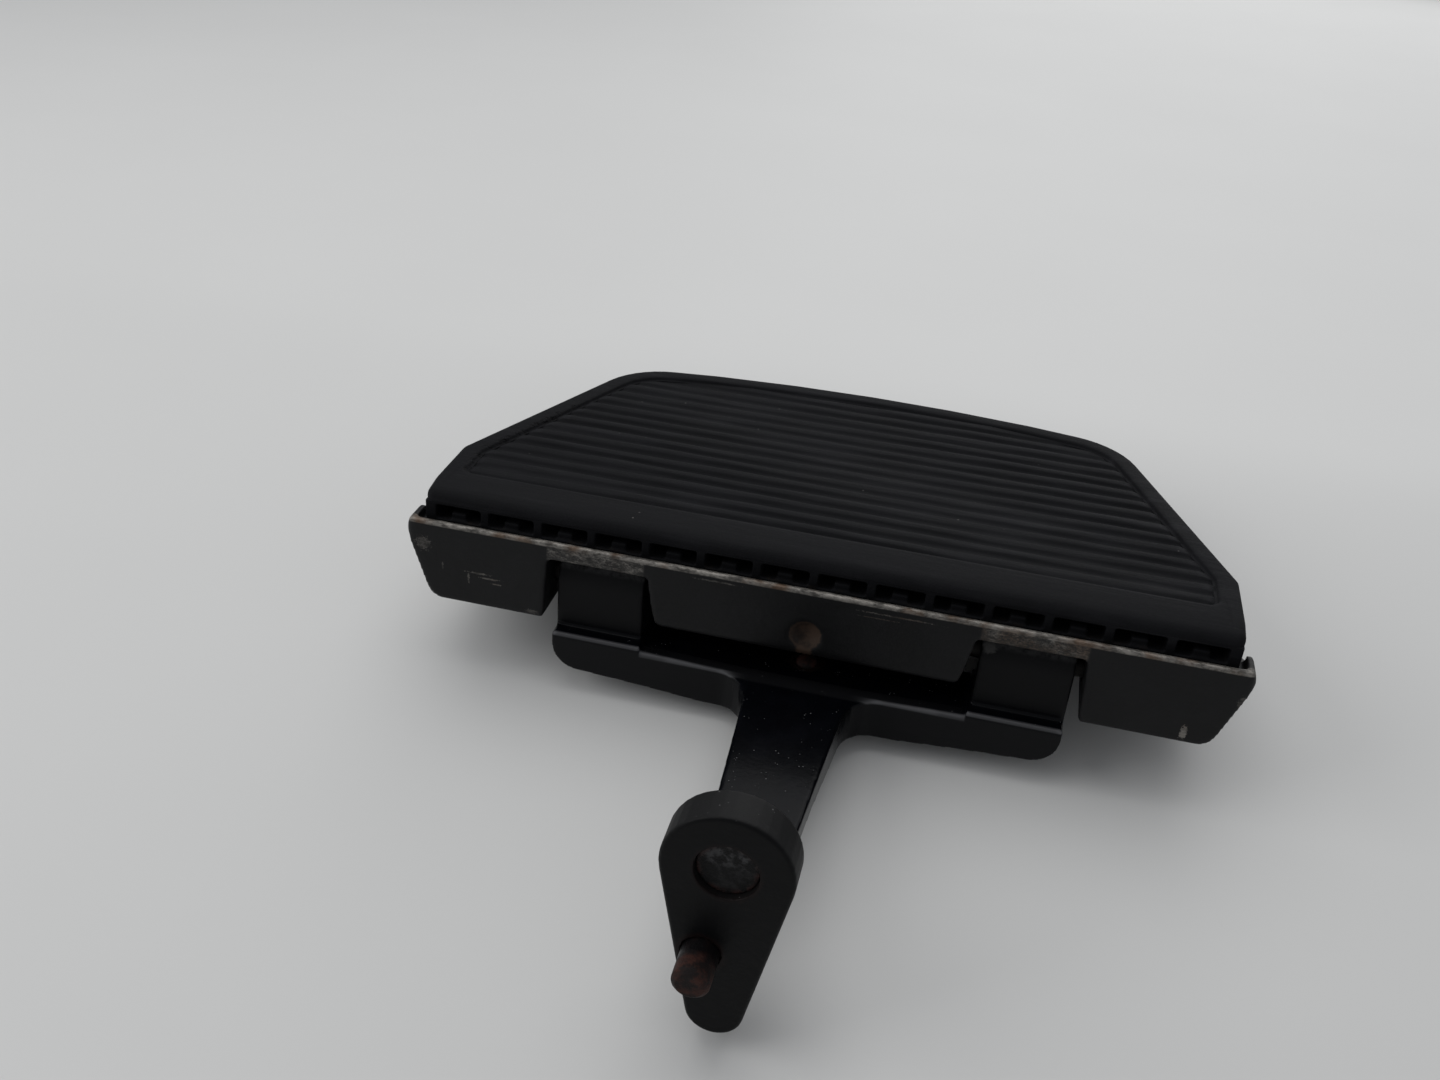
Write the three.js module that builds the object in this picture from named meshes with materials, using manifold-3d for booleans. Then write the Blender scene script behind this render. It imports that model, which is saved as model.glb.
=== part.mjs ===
// Folding D-shaped footboard on a hinge bracket. Millimetres, +Z up.
// X runs along the hinge, +Y points away from the mounting face, which lies at Y = 0.
import * as THREE from 'three';
import { mergeVertices } from 'three/addons/utils/BufferGeometryUtils.js';
import Module from 'manifold-3d';

const wasm = await Module();
wasm.setup();

// Where the footboard's front wall stands from the mounting face, and how high its underside is.
const wallY = 107.6;
const baseZ = 5;

// Footboard pan, measured from the foot of its front wall.
const rimZ = 29;
const deckTopZ = 26;
const deckUnderZ = 22.8;
const skirtWall = 4.5;
const panHalfLength = 133.6;
const lipWidth = 2.3;
const centreWallFootZ = 3.9;
const centreWallThick = 7;
const blockDepth = 27;
const bossInnerX = 38;
const ribThick = 3;

// Hinge.
const hingeY = 15;
const hingeZ = 11.5;
const pinRadius = 4;
const lugBoreRadius = 4.08;
const panBoreRadius = 4.2;
const pinInnerX = 39;
const pinOuterX = 127;
const lockScrewX = 100;
const lockScrewRadius = 2.9;

// Hinge bracket.
const lugInnerX = 54;
const lugOuterX = 83;
const lugFrontY = 4.2;
const lugBackY = 23;
const lugTopZ = 22.3;
const barBackY = 24;
const barFrontY = -1.1;
const barTopZ = -3.8;
const barBottomZ = -20.5;
const armTopZ = -6.4;
const armBottomZ = -14.6;
const armRootHalf = 16.4;
const armTipHalf = 10.6;

// Mounting plate, its plug and its locating pin.
const plateThick = 11.4;
const plateRadius = 17.7;
const plateHoleZ = 11.3;
const plateHoleRadius = 8.5;
const plateTipZ = -38.7;
const plateTipRadius = 8;
const dowelX = -4.8;
const dowelZ = -17.8;
const dowelRadius = 5.2;
const dowelReach = 11.5;

// Detent ball and spring under the centre wall.
const ballRadius = 4;
const ballY = 14;
const ballTopZ = -4.3;
const ballBoreRadius = 4.15;
const ballLipRadius = 3.75;
const ballBoreFootZ = -18.6;
const coilRadius = 3.1;
const wireRadius = 0.45;
const coilTurns = 4.5;
const dimpleZ = 12.5;
const dimpleRadius = 5.8;
const dimpleDepth = 1.5;

// Rubber.
const padFrontY = 4.5;
const padTopZ = 38.8;
const padSplitZ = 33.2;
const padUnderZ = 26.2;
const borderWidth = 8;
const frontBand = 15;
const ribPitch = 4.6;
const ribHeight = 1.5;
const pocketCount = 14;
const pocketPitch = 18;
const pocketWidth = 15.2;
const pocketDepth = 12;
const toothWidth = 5;
const toothHeight = 2.6;
const studPlaces = [[-57, 45], [0, 45], [57, 45], [-57, 100], [0, 100], [57, 100]];
const studRadius = 4;
const studHeadRadius = 6.5;

const gap = 0.3;

// ---- helpers ----

function toSolid(geometry) {
  const plain = geometry.clone();
  plain.deleteAttribute('normal');
  plain.deleteAttribute('uv');
  const merged = mergeVertices(plain, 1e-4);
  return new wasm.Manifold(new wasm.Mesh({
    numProp: 3,
    vertProperties: new Float32Array(merged.attributes.position.array),
    triVerts: new Uint32Array(merged.index.array),
  }));
}

function shapeFrom(points) {
  return new THREE.Shape(points.map(([a, b]) => new THREE.Vector2(a, b)));
}

function extruded(points, length, bevel = 0, bevelSteps = 2) {
  return new THREE.ExtrudeGeometry(shapeFrom(points), {
    depth: length - 2 * bevel,
    bevelEnabled: bevel > 0,
    bevelThickness: bevel,
    bevelSize: bevel,
    bevelOffset: -bevel,
    bevelSegments: bevelSteps,
    curveSegments: 8,
  }).translate(0, 0, bevel);
}

// A plan outline in X and Y, standing from z0 up to z1.
function standing(points, z0, z1, bevel = 0) {
  return toSolid(extruded(points, z1 - z0, bevel).translate(0, 0, z0));
}

// A front outline in X and Z, running from y0 back to y1.
function runningBack(points, y0, y1, bevel = 0) {
  const turn = new THREE.Matrix4().makeBasis(
    new THREE.Vector3(1, 0, 0), new THREE.Vector3(0, 0, 1), new THREE.Vector3(0, -1, 0));
  return toSolid(extruded(points, y1 - y0, bevel).applyMatrix4(turn).translate(0, y1, 0));
}

// A side outline in Y and Z, running along X from x0 to x1.
function runningAlong(points, x0, x1) {
  const turn = new THREE.Matrix4().makeBasis(
    new THREE.Vector3(0, 1, 0), new THREE.Vector3(0, 0, 1), new THREE.Vector3(1, 0, 0));
  return toSolid(extruded(points, x1 - x0).applyMatrix4(turn).translate(x0, 0, 0));
}

function block(x0, x1, y0, y1, z0, z1) {
  return toSolid(new THREE.BoxGeometry(x1 - x0, y1 - y0, z1 - z0)
    .translate((x0 + x1) / 2, (y0 + y1) / 2, (z0 + z1) / 2));
}

function rodAlongX(radius, x0, x1, y, z, sides = 32) {
  return toSolid(new THREE.CylinderGeometry(radius, radius, x1 - x0, sides)
    .rotateZ(Math.PI / 2).translate((x0 + x1) / 2, y, z));
}

function rodAlongY(radius, x, y0, y1, z, sides = 32) {
  return toSolid(new THREE.CylinderGeometry(radius, radius, y1 - y0, sides)
    .translate(x, (y0 + y1) / 2, z));
}

function rodAlongZ(radius, x, y, z0, z1, sides = 32) {
  return toSolid(new THREE.CylinderGeometry(radius, radius, z1 - z0, sides)
    .rotateX(Math.PI / 2).translate(x, y, (z0 + z1) / 2));
}

// A turned piece about Z: pairs of radius and height, both ends on the axis.
function turnedAboutZ(profile, sides = 24) {
  const points = profile.map(([radius, height]) => new THREE.Vector2(radius, height));
  return toSolid(new THREE.LatheGeometry(points, sides).rotateX(Math.PI / 2));
}

// Rounds each corner of a closed outline; every entry is [a, b, radius].
function rounded(corners, steps = 5) {
  const out = [];
  corners.forEach(([a, b, radius = 0], index) => {
    const before = corners[(index + corners.length - 1) % corners.length];
    const after = corners[(index + 1) % corners.length];
    const here = new THREE.Vector2(a, b);
    if (!radius) {
      out.push([a, b]);
      return;
    }
    const toBefore = new THREE.Vector2(before[0] - a, before[1] - b).normalize();
    const toAfter = new THREE.Vector2(after[0] - a, after[1] - b).normalize();
    const half = Math.acos(THREE.MathUtils.clamp(toBefore.dot(toAfter), -1, 1)) / 2;
    const reach = radius / Math.tan(half);
    const middle = toBefore.clone().add(toAfter).normalize();
    const centre = here.clone().addScaledVector(middle, radius / Math.sin(half));
    const start = here.clone().addScaledVector(toBefore, reach).sub(centre);
    const end = here.clone().addScaledVector(toAfter, reach).sub(centre);
    let sweep = end.angle() - start.angle();
    if (sweep > Math.PI) sweep -= 2 * Math.PI;
    if (sweep < -Math.PI) sweep += 2 * Math.PI;
    for (let step = 0; step <= steps; step += 1) {
      const angle = start.angle() + sweep * step / steps;
      out.push([centre.x + radius * Math.cos(angle), centre.y + radius * Math.sin(angle)]);
    }
  });
  return out;
}

// Right half of an outline, from the first corner on +X round to the middle, made whole.
function mirrored(half) {
  const left = half.filter(([a]) => a > 0).map(([a, b, radius]) => [-a, b, radius]).reverse();
  return [...half, ...left];
}

// Moves every edge of a counter-clockwise outline outward by one distance.
function grown(corners, distance) {
  const count = corners.length;
  const lines = corners.map((corner, index) => {
    const next = corners[(index + 1) % count];
    const along = new THREE.Vector2(next[0] - corner[0], next[1] - corner[1]).normalize();
    return { x: corner[0] + along.y * distance, y: corner[1] - along.x * distance, along };
  });
  return corners.map((corner, index) => {
    const one = lines[(index + count - 1) % count];
    const two = lines[index];
    const cross = one.along.x * two.along.y - one.along.y * two.along.x;
    const step = ((two.x - one.x) * two.along.y - (two.y - one.y) * two.along.x) / cross;
    const radius = corner[2] ? Math.max(corner[2] + distance, 1) : 0;
    return [one.x + one.along.x * step, one.y + one.along.y * step, radius];
  });
}

function joined(solids) {
  return solids.reduce((whole, solid) => whole.add(solid));
}

function bothSides(make) {
  return make(1).add(make(-1));
}

function spanX(side, x0, x1) {
  return side > 0 ? [x0, x1] : [-x1, -x0];
}

function named(name, solid, colour, roughness, metalness) {
  const placed = solid.translate([0, wallY, baseZ]);
  const mesh = placed.getMesh();
  const geometry = new THREE.BufferGeometry();
  geometry.setAttribute('position', new THREE.BufferAttribute(
    new Float32Array(mesh.vertProperties), 3));
  geometry.setIndex(new THREE.BufferAttribute(new Uint32Array(mesh.triVerts), 1));
  geometry.computeVertexNormals();
  const out = new THREE.Mesh(geometry,
    new THREE.MeshStandardMaterial({ color: colour, roughness, metalness }));
  out.name = name;
  return out;
}

// ---- outlines ----

// The D seen from above: straight front, short square sides, long slanting sides, bowed far edge.
function padCorners() {
  return mirrored([
    [128.4, padFrontY, 3], [128.4, 36.5, 4], [93, 123, 28], [60, 128.2, 40],
    [30, 130.9, 60], [0, 131.8, 60],
  ]);
}

function panCorners() {
  return mirrored([
    [panHalfLength, 0, 2.5], [panHalfLength, 9, 3], [127.7, 17, 3], [127.7, 36, 4],
    [92.4, 122.2, 28], [60, 127.4, 40], [30, 130.1, 60], [0, 131, 60],
  ]);
}

// The pan seen from the front: flat foot, sides leaning out to just below the rim.
function panFront(inset) {
  return mirrored([
    [125.5 - inset, inset ? -1 : 0, inset ? 0 : 6], [panHalfLength - inset, 24.5, 1],
    [132.3 - inset, inset ? deckUnderZ : rimZ],
  ]);
}

// The pan seen from the side: deep all the way, rising in a curve at the far edge.
function panSide(inset) {
  const foot = inset ? -1 : 0;
  const top = inset ? deckUnderZ : rimZ;
  return rounded([
    [inset, foot], [119 - inset, foot + (inset ? 0 : 2), inset ? 0 : 8],
    [132 - inset, inset ? 17 : 23], [132 - inset, top], [inset, top],
  ]);
}

// ---- footboard ----

function panShell() {
  const outer = runningBack(rounded(panFront(0)), 0, 135)
    .intersect(standing(rounded(panCorners()), 0, rimZ))
    .intersect(runningAlong(panSide(0), -140, 140));
  const hollow = runningBack(rounded([
    [-121, -1], [121, -1], [128.5, deckUnderZ], [-128.5, deckUnderZ]]), skirtWall, 135)
    .intersect(standing(rounded(grown(padCorners(), -skirtWall - 0.8)), -1, deckUnderZ)
      .add(block(-123.2, 123.2, skirtWall, 34, -1, deckUnderZ)))
    .intersect(runningAlong(panSide(skirtWall), -140, 140));
  const tray = block(-130.3, 130.3, lipWidth, 140, deckTopZ, rimZ + 1);
  const farRim = block(-140, 140, 10, 140, deckTopZ, rimZ + 1);
  return { outer, shell: outer.subtract(hollow).subtract(tray).subtract(farRim) };
}

// Solid blocks at both ends of the front wall, bored for the hinge pins.
function endBlocks(outer) {
  return bothSides((side) => {
    const [x0, x1] = spanX(side, 85, 140);
    return block(x0, x1, 0, blockDepth, 0, deckTopZ);
  }).intersect(outer);
}

function centreWall() {
  const front = rounded([[-48.3, centreWallFootZ, 3], [48.3, centreWallFootZ, 3],
    [50.3, 12], [52.2, 24], [-52.2, 24], [-50.3, 12]]);
  const boss = rounded([[0, centreWallFootZ, 4], [24, centreWallFootZ, 5], [24, 24], [0, 24]]);
  const wall = rounded([[0, centreWallFootZ, 4], [centreWallThick, centreWallFootZ, 2],
    [centreWallThick, 24], [0, 24]]);
  const bosses = bothSides((side) => {
    const [x0, x1] = spanX(side, bossInnerX, 60);
    return runningAlong(boss, x0, x1);
  });
  return runningAlong(wall, -60, 60).add(bosses).intersect(runningBack(front, -1, 30));
}

// Openings for the lugs, leaning with the draft of the end blocks.
function slotCuts() {
  const slot = [[50, -2], [86.7, -2], [85.2, deckUnderZ], [50, deckUnderZ]];
  return bothSides((side) => runningBack(slot.map(([x, z]) => [side * x, z]), -1, 28.8));
}

function underRibs(outer) {
  const long = joined([-80, -34, 34, 80].map((x) => block(
    x - ribThick / 2, x + ribThick / 2, 30, 128, 9, deckTopZ - 1)));
  const cross = block(-125, 125, 72, 72 + ribThick, 9, deckTopZ - 1);
  const behind = block(-125, 125, 29, 29 + ribThick, 9, deckTopZ - 1);
  return long.add(cross).add(behind).intersect(outer);
}

function detentDimple() {
  const sphereRadius = (dimpleRadius ** 2 + dimpleDepth ** 2) / (2 * dimpleDepth);
  return toSolid(new THREE.SphereGeometry(sphereRadius, 48, 32)
    .translate(0, dimpleDepth - sphereRadius, dimpleZ));
}

function footboardPan() {
  const { outer, shell } = panShell();
  const openFront = block(-60, 60, -1, 28.8, -1, deckUnderZ);
  let pan = shell.add(underRibs(outer)).add(endBlocks(outer));
  pan = pan.subtract(openFront).subtract(slotCuts()).add(centreWall());
  pan = pan.subtract(detentDimple());
  const bores = bothSides((side) => {
    const [x0, x1] = spanX(side, bossInnerX + 0.5, 140);
    return rodAlongX(panBoreRadius, x0, x1, hingeY, hingeZ);
  });
  const screws = bothSides((side) => rodAlongZ(
    lockScrewRadius + 0.2, side * lockScrewX, hingeY, -1, hingeZ, 20));
  const studs = joined(studPlaces.map(([x, y]) => rodAlongZ(
    studRadius + gap, x, y, 15, 30, 20)));
  pan = pan.subtract(bores).subtract(screws).subtract(studs);
  return named('footboard_pan', pan, 0x17181a, 0.5, 0.3);
}

function treadPad() {
  const field = grown(padCorners(), -borderWidth)
    .map(([x, y, radius]) => [x, Math.max(y, padFrontY + frontBand), radius]);
  const slab = standing(rounded(padCorners()), padSplitZ + 0.1, padTopZ, 1.6);
  const floor = standing(rounded(field), padTopZ - 1.8, padTopZ + 1);
  const teeth = [];
  const first = padFrontY + frontBand + 1;
  const count = Math.floor((123 - first) / ribPitch);
  for (let index = 0; index < count; index += 1) {
    const y = first + index * ribPitch;
    teeth.push([y, 0], [y + 1, ribHeight], [y + 2.3, ribHeight], [y + 3.3, 0]);
  }
  const comb = [[first - 0.5, -1], [first + count * ribPitch, -1],
    [first + count * ribPitch, 0], ...teeth.reverse(), [first - 0.5, 0]];
  const ribs = runningAlong(comb.map(([y, z]) => [y, z + padTopZ - 1.8]), -130, 130)
    .intersect(standing(rounded(grown(field, -0.6)), padTopZ - 4, padTopZ + 1));
  return named('tread_pad', slab.subtract(floor).add(ribs), 0x1c1d1f, 0.85, 0);
}

// The softer under layer whose front shows a row of pockets, each with a short tooth.
function padIsolator() {
  let layer = standing(rounded(grown(padCorners(), -0.3)), padUnderZ, padSplitZ);
  for (let index = 0; index < pocketCount; index += 1) {
    const x = (index - (pocketCount - 1) / 2) * pocketPitch;
    const half = pocketWidth / 2;
    layer = layer.subtract(block(x - half, x + half, 0, padFrontY + pocketDepth,
      padUnderZ + 1.8, padSplitZ + 1));
    layer = layer.add(block(x - toothWidth / 2, x + toothWidth / 2, padFrontY + 0.8,
      padFrontY + pocketDepth + 1, padUnderZ + 1, padUnderZ + 1.8 + toothHeight));
  }
  layer = layer.subtract(joined(studPlaces.map(([x, y]) => rodAlongZ(
    studRadius + gap, x, y, padUnderZ - 1, padUnderZ + 3.5, 20))));
  return named('pad_isolator', layer, 0x161617, 0.9, 0);
}

// Rubber stud pushed through the pan, with a mushroom head below the deck.
function padStud(index, x, y) {
  const headZ = deckUnderZ - gap;
  const stud = turnedAboutZ([[0, headZ - 5.5], [studRadius, headZ - 4.6],
    [studHeadRadius, headZ - 1.2], [studHeadRadius, headZ], [studRadius, headZ],
    [studRadius, padUnderZ + 3.2], [0, padUnderZ + 3.2]], 20).translate([x, y, 0]);
  return named(`pad_stud_${index}`, stud, 0x1a1a1b, 0.85, 0);
}

// ---- hinge ----

function pivotPin(side, name) {
  const [x0, x1] = spanX(side, pinInnerX, pinOuterX);
  return named(name, rodAlongX(pinRadius, x0, x1, hingeY, hingeZ), 0x6d6a66, 0.4, 0.9);
}

function lockScrew(side, name) {
  const x = side * lockScrewX;
  const socket = toSolid(new THREE.CylinderGeometry(1.7, 1.7, 4, 6)
    .rotateX(Math.PI / 2).translate(x, hingeY, 2));
  const screw = rodAlongZ(lockScrewRadius, x, hingeY, 1, hingeZ - pinRadius - 0.2, 20);
  return named(name, screw.subtract(socket), 0x2c2b2a, 0.45, 0.9);
}

// ---- hinge bracket ----

function lug(side) {
  const radius = hingeY - lugFrontY;
  const outline = [[lugFrontY - 0.3, barTopZ], [lugFrontY, barTopZ + 0.3]];
  const steps = 10;
  for (let step = 0; step <= steps; step += 1) {
    const angle = Math.PI - (Math.PI / 2) * step / steps;
    outline.push([hingeY + radius * Math.cos(angle), hingeZ + radius * Math.sin(angle)]);
  }
  outline.push([hingeY + 1, lugTopZ], [lugBackY - 2.5, lugTopZ], [lugBackY, lugTopZ - 2.5],
    [lugBackY, barTopZ - 1], [lugFrontY - 0.3, barTopZ - 1]);
  const [x0, x1] = spanX(side, lugInnerX, lugOuterX);
  return runningAlong(outline.reverse(), x0, x1);
}

function crossbar() {
  const front = rounded(mirrored([
    [0, barBottomZ], [33, barBottomZ + 0.4], [54, barBottomZ + 2.1],
    [lugOuterX, barBottomZ + 3.7, 9], [lugOuterX, barTopZ, 1],
  ]));
  // the top dips between the lugs and runs level into the arm
  const dip = mirrored([[0, armTopZ], [20, armTopZ], [32, armTopZ + 0.35], [44, armTopZ + 0.8],
    [lugInnerX - 0.7, armTopZ + 1.1], [lugInnerX - 0.7, 0]]);
  return runningBack(front, barFrontY, barBackY).subtract(runningBack(rounded(dip), -5, 30));
}

// Arm with wide fillets where it leaves the crossbar, its underside rising along the way.
function arm() {
  const tipY = -wallY + plateThick + gap;
  const plan = rounded(mirrored([
    [armTipHalf, tipY], [armRootHalf, barFrontY, 12], [32, barFrontY + 0.3],
    [32, 20],
  ]));
  const side = [[tipY, armBottomZ], [-48, armBottomZ], [-14, barBottomZ + 0.6],
    [20, barBottomZ + 0.6], [20, armTopZ], [tipY, armTopZ]];
  return standing(plan, -30, 10).intersect(runningAlong(side, -40, 40));
}

function hingeBracket() {
  let bracket = crossbar().add(arm()).add(bothSides(lug));
  bracket = bracket.subtract(bothSides((side) => {
    const [x0, x1] = spanX(side, lugInnerX - 1, lugOuterX + 1);
    return rodAlongX(lugBoreRadius, x0, x1, hingeY, hingeZ);
  }));
  const ballBore = rodAlongZ(ballBoreRadius, 0, ballY, ballBoreFootZ, armTopZ - 0.4)
    .add(rodAlongZ(ballLipRadius, 0, ballY, armTopZ - 1, 0));
  return named('hinge_bracket', bracket.subtract(ballBore), 0x0c0d0f, 0.25, 0.4);
}

function mountingPlate() {
  const outline = [];
  const lean = Math.asin((plateRadius - plateTipRadius) / (plateHoleZ - plateTipZ));
  const steps = 20;
  for (let step = 0; step <= steps; step += 1) {
    const angle = -lean + (Math.PI + 2 * lean) * step / steps;
    outline.push([plateRadius * Math.cos(angle), plateHoleZ + plateRadius * Math.sin(angle)]);
  }
  for (let step = 0; step <= 12; step += 1) {
    const angle = Math.PI + lean + (Math.PI - 2 * lean) * step / 12;
    outline.push([plateTipRadius * Math.cos(angle), plateTipZ + plateTipRadius * Math.sin(angle)]);
  }
  const plate = runningBack(outline, -wallY, -wallY + plateThick, 0.8)
    .subtract(rodAlongY(plateHoleRadius, 0, -wallY - 1, -wallY + plateThick + 1, plateHoleZ))
    .subtract(rodAlongY(dowelRadius + 0.1, dowelX, -wallY - 1, -wallY + 9, dowelZ));
  return named('mounting_plate', plate, 0x1b1c1e, 0.45, 0.3);
}

function bossPlug() {
  const plug = rodAlongY(plateHoleRadius - 0.15, 0, -wallY + 2, -wallY + plateThick - 0.5,
    plateHoleZ);
  return named('boss_plug', plug, 0x5a5350, 0.6, 0.8);
}

function locatingDowel() {
  const y0 = -dowelReach;
  const dowel = toSolid(new THREE.LatheGeometry([[0, y0], [dowelRadius - 1.4, y0],
    [dowelRadius, y0 + 1.3], [dowelRadius, 8.8], [0, 8.8]]
    .map(([radius, along]) => new THREE.Vector2(radius, along)), 28))
    .translate([dowelX, -wallY, dowelZ]);
  return named('locating_dowel', dowel, 0x4a2a20, 0.85, 0.4);
}

// ---- detent ----

function detentBall() {
  const ball = toSolid(new THREE.SphereGeometry(ballRadius, 24, 16).rotateX(Math.PI / 2)
    .translate(0, ballY, ballTopZ - ballRadius));
  return named('detent_ball', ball, 0x8a6a50, 0.35, 0.9);
}

function detentSpring() {
  const bottom = ballBoreFootZ + wireRadius + 0.15;
  const ballCentreZ = ballTopZ - ballRadius;
  const top = ballCentreZ - Math.sqrt((ballRadius + wireRadius + 0.1) ** 2 - coilRadius ** 2);
  const path = new THREE.CatmullRomCurve3(Array.from({ length: 55 }, (_, index) => {
    const share = index / 54;
    const angle = share * coilTurns * 2 * Math.PI;
    return new THREE.Vector3(coilRadius * Math.cos(angle),
      ballY + coilRadius * Math.sin(angle), bottom + (top - bottom) * share);
  }));
  const ring = Array.from({ length: 8 }, (_, index) => [
    wireRadius * Math.cos(index * Math.PI / 4), wireRadius * Math.sin(index * Math.PI / 4)]);
  const coil = new THREE.ExtrudeGeometry(shapeFrom(ring),
    { steps: 72, extrudePath: path, bevelEnabled: false });
  return named('detent_spring', toSolid(coil), 0x77736c, 0.35, 0.9);
}

const part = new THREE.Group();
part.name = 'folding_footboard';
part.add(footboardPan(), treadPad(), padIsolator());
studPlaces.forEach(([x, y], index) => part.add(padStud(index + 1, x, y)));
part.add(pivotPin(-1, 'pivot_pin_left'), pivotPin(1, 'pivot_pin_right'));
part.add(lockScrew(-1, 'lock_screw_left'), lockScrew(1, 'lock_screw_right'));
part.add(hingeBracket(), mountingPlate(), bossPlug(), locatingDowel());
part.add(detentBall(), detentSpring());

export default part;
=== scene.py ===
import math
import bpy
import bmesh
import numpy as np
from mathutils import Matrix, Vector


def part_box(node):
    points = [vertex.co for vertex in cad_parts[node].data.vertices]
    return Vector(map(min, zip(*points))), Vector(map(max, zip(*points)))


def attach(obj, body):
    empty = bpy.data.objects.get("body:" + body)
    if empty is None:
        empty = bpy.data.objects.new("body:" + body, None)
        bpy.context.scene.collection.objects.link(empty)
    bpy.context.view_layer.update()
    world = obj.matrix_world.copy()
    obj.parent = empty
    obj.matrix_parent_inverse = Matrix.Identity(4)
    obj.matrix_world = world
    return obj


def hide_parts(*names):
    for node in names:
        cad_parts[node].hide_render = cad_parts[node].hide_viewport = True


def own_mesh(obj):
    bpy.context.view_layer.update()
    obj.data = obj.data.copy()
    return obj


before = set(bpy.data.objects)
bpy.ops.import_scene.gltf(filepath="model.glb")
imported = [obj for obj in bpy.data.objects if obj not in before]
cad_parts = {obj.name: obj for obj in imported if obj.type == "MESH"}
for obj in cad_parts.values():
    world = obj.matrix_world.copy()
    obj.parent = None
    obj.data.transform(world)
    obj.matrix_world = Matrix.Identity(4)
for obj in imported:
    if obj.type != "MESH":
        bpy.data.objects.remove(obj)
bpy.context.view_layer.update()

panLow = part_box("footboard_pan")[0]
wallY = panLow.y          # front of the footboard's wall
footZ = panLow.z          # underside of its end blocks
mm = 0.001


# lengths below are in millimetres from the foot of the footboard's front wall
def place(x, y, z):
    return (x * mm, wallY + y * mm, footZ + z * mm)


cameraValues = {
    "spot": (40.8, -357.1, 254.4),
    "azimuth": -11.13, "elevation": 30.33, "roll": -4.59,
    "lens": 34.47,
}


def makeCamera(values):
    azimuth, elevation, roll = (math.radians(values[key]) for key in ("azimuth", "elevation", "roll"))
    ahead = Vector((math.sin(azimuth) * math.cos(elevation),
                    math.cos(azimuth) * math.cos(elevation), -math.sin(elevation)))
    right = Vector((math.cos(azimuth), -math.sin(azimuth), 0.0))
    down = ahead.cross(right)
    rightTurned = right * math.cos(roll) + down * math.sin(roll)
    downTurned = down * math.cos(roll) - right * math.sin(roll)
    data = bpy.data.cameras.new("camera")
    data.sensor_width = 36.0
    data.lens = values["lens"]
    data.clip_start = 0.01
    data.clip_end = 20.0
    camera = bpy.data.objects.new("camera", data)
    bpy.context.scene.collection.objects.link(camera)
    axes = Matrix((rightTurned, -downTurned, -ahead)).transposed().to_4x4()
    camera.matrix_world = Matrix.Translation(place(*values["spot"])) @ axes
    bpy.context.scene.camera = camera


makeCamera(cameraValues)
print("camera placed")


# a socket that turns plain sums into Math nodes
class Value:
    def __init__(self, paint, socket):
        self.paint = paint
        self.socket = socket

    def maths(self, operation, *others, clamp=False):
        return self.paint.add("Math", {"operation": operation, "use_clamp": clamp},
                              dict(enumerate((self, *others))))

    def __add__(self, other):
        return self.maths("ADD", other)

    __radd__ = __add__

    def __mul__(self, other):
        return self.maths("MULTIPLY", other)

    __rmul__ = __mul__

    def __sub__(self, other):
        return self.maths("SUBTRACT", other)

    def __rsub__(self, other):
        return self.paint.add("Math", {"operation": "SUBTRACT"}, {0: other, 1: self})

    def clamped(self):
        return self.maths("ADD", 0.0, clamp=True)

    def above(self, low, high):
        return self.paint.add("MapRange", {"interpolation_type": "SMOOTHSTEP"},
                              {"Value": self, "From Min": low, "From Max": high})

    def below(self, low, high):
        return 1 - self.above(low, high)


# one material being put together
class Paint:
    def __init__(self, name):
        self.material = bpy.data.materials.new(name)
        self.material.use_nodes = True
        self.tree = self.material.node_tree
        self.shader = self.tree.nodes["Principled BSDF"]

    def link(self, value, socket):
        if isinstance(value, Value):
            self.tree.links.new(value.socket, socket)
        elif value is not None:
            socket.default_value = value

    def add(self, kind, settings=None, inputs=None, output=0):
        node = self.tree.nodes.new("ShaderNode" + kind)
        for key, setting in (settings or {}).items():
            setattr(node, key, setting)
        for key, value in (inputs or {}).items():
            self.link(value, node.inputs[key])
        return Value(self, node.outputs[output])

    def spot(self):
        return self.add("TexCoord", output="Object")

    def axis(self, name):
        return self.add("SeparateXYZ", {}, {0: self.spot()}, output=name)

    # scale is in grains per metre
    def noise(self, scale, detail=4.0, rough=0.55, stretch=None):
        where = self.spot()
        if stretch:
            where = self.add("VectorMath", {"operation": "MULTIPLY"}, {0: where, 1: stretch})
        return self.add("TexNoise", {}, {"Vector": where, "Scale": scale, "Detail": detail,
                                         "Roughness": rough})

    def cells(self, scale):
        return self.add("TexVoronoi", {"feature": "F1"}, {"Vector": self.spot(), "Scale": scale},
                        output="Distance")

    def attribute(self, name):
        return self.add("Attribute", {"attribute_name": name}, {}, output="Fac")

    def mixColour(self, share, first, second):
        def colour(value):
            return value if isinstance(value, Value) else (*value, 1.0)
        # 6, 7 and 2 are the node's colour sockets
        return self.add("Mix", {"data_type": "RGBA"},
                        {"Factor": share, 6: colour(first), 7: colour(second)}, output=2)

    def bump(self, height, distance, strength):
        return self.add("Bump", {}, {"Height": height, "Distance": distance,
                                     "Strength": strength})

    # sets the shader's own sockets
    def finish(self, **sockets):
        for key, value in sockets.items():
            name = {"colour": "Base Color", "roughness": "Roughness", "metallic": "Metallic",
                    "normal": "Normal", "specular": "Specular IOR Level"}[key]
            if key == "colour" and not isinstance(value, Value):
                value = (*value, 1.0)
            self.link(value, self.shader.inputs[name])
        return self.material


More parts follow.
